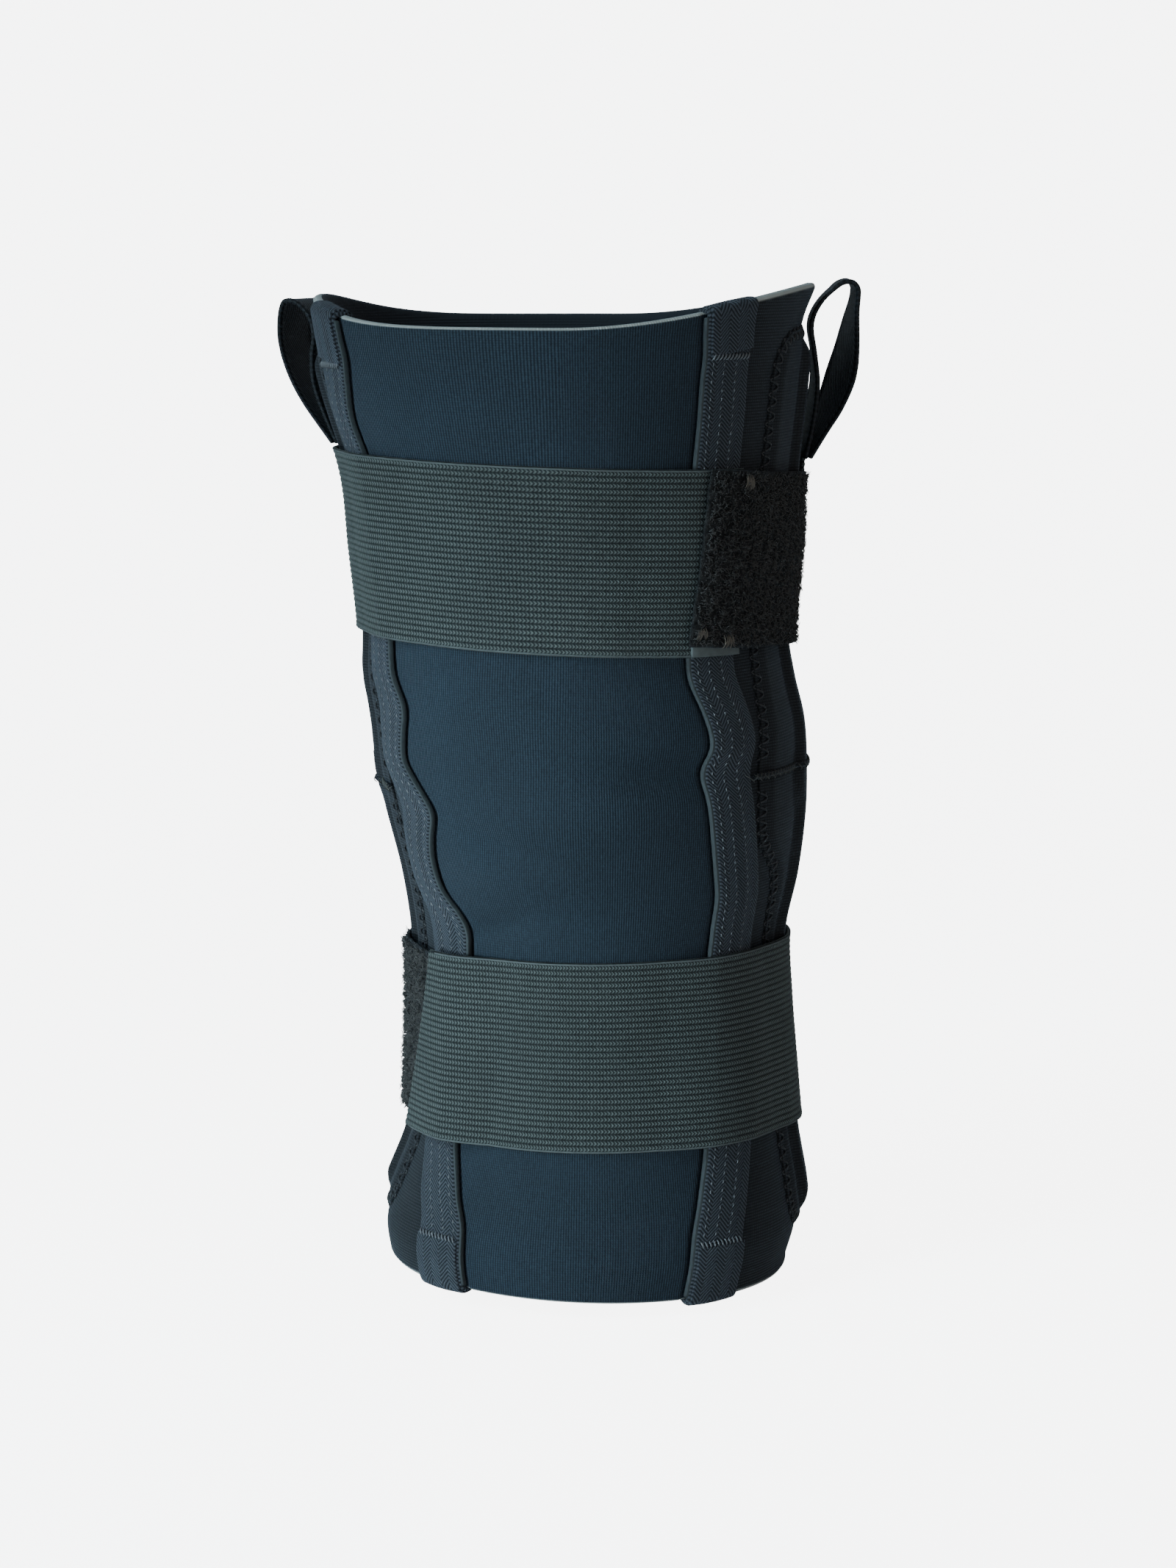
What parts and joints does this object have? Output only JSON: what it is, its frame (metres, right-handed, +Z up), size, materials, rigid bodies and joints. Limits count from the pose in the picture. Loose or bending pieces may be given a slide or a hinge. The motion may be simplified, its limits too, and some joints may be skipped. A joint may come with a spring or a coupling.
{
  "type": "hinged knee brace",
  "caption": "Hinged knee brace in its worn form: padded sleeve open at both ends, a pocketed hinge bar on each side, two wrap straps and a pull loop on each side.",
  "frame": {"origin": "middle of the leg hollow at the knee line", "axes": "+Z up along the leg to the thigh end, -Y to the front over the kneecap, +X to the viewer's right as seen from the front"},
  "size_m": [0.1945, 0.1572, 0.3295],
  "materials": {
    "neoprene": "ribbed knit over foam, matt",
    "pocket_cloth": "ribbed knit, matt",
    "tape": "herringbone tape, matt",
    "elastic": "ribbed woven elastic, matt",
    "pile": "loop pile, very matt",
    "webbing": "twill webbing, faint sheen",
    "steel": "brushed"
  },
  "bodies": {
    "root": {"front_panel": "neoprene", "back_panel": "neoprene", "stay_tape_left": "tape", "stay_tape_right": "tape", "hinge_left": "steel", "hinge_right": "steel", "hinge_pocket_left_upper": "pocket_cloth", "hinge_pocket_left_lower": "pocket_cloth", "hinge_pocket_right_upper": "pocket_cloth", "hinge_pocket_right_lower": "pocket_cloth", "pull_loop_left": "webbing", "pull_loop_right": "webbing", "upper_pad": "pile", "upper_strap": "elastic", "lower_pad": "pile", "lower_strap": "elastic"}
  },
  "joints": []
}
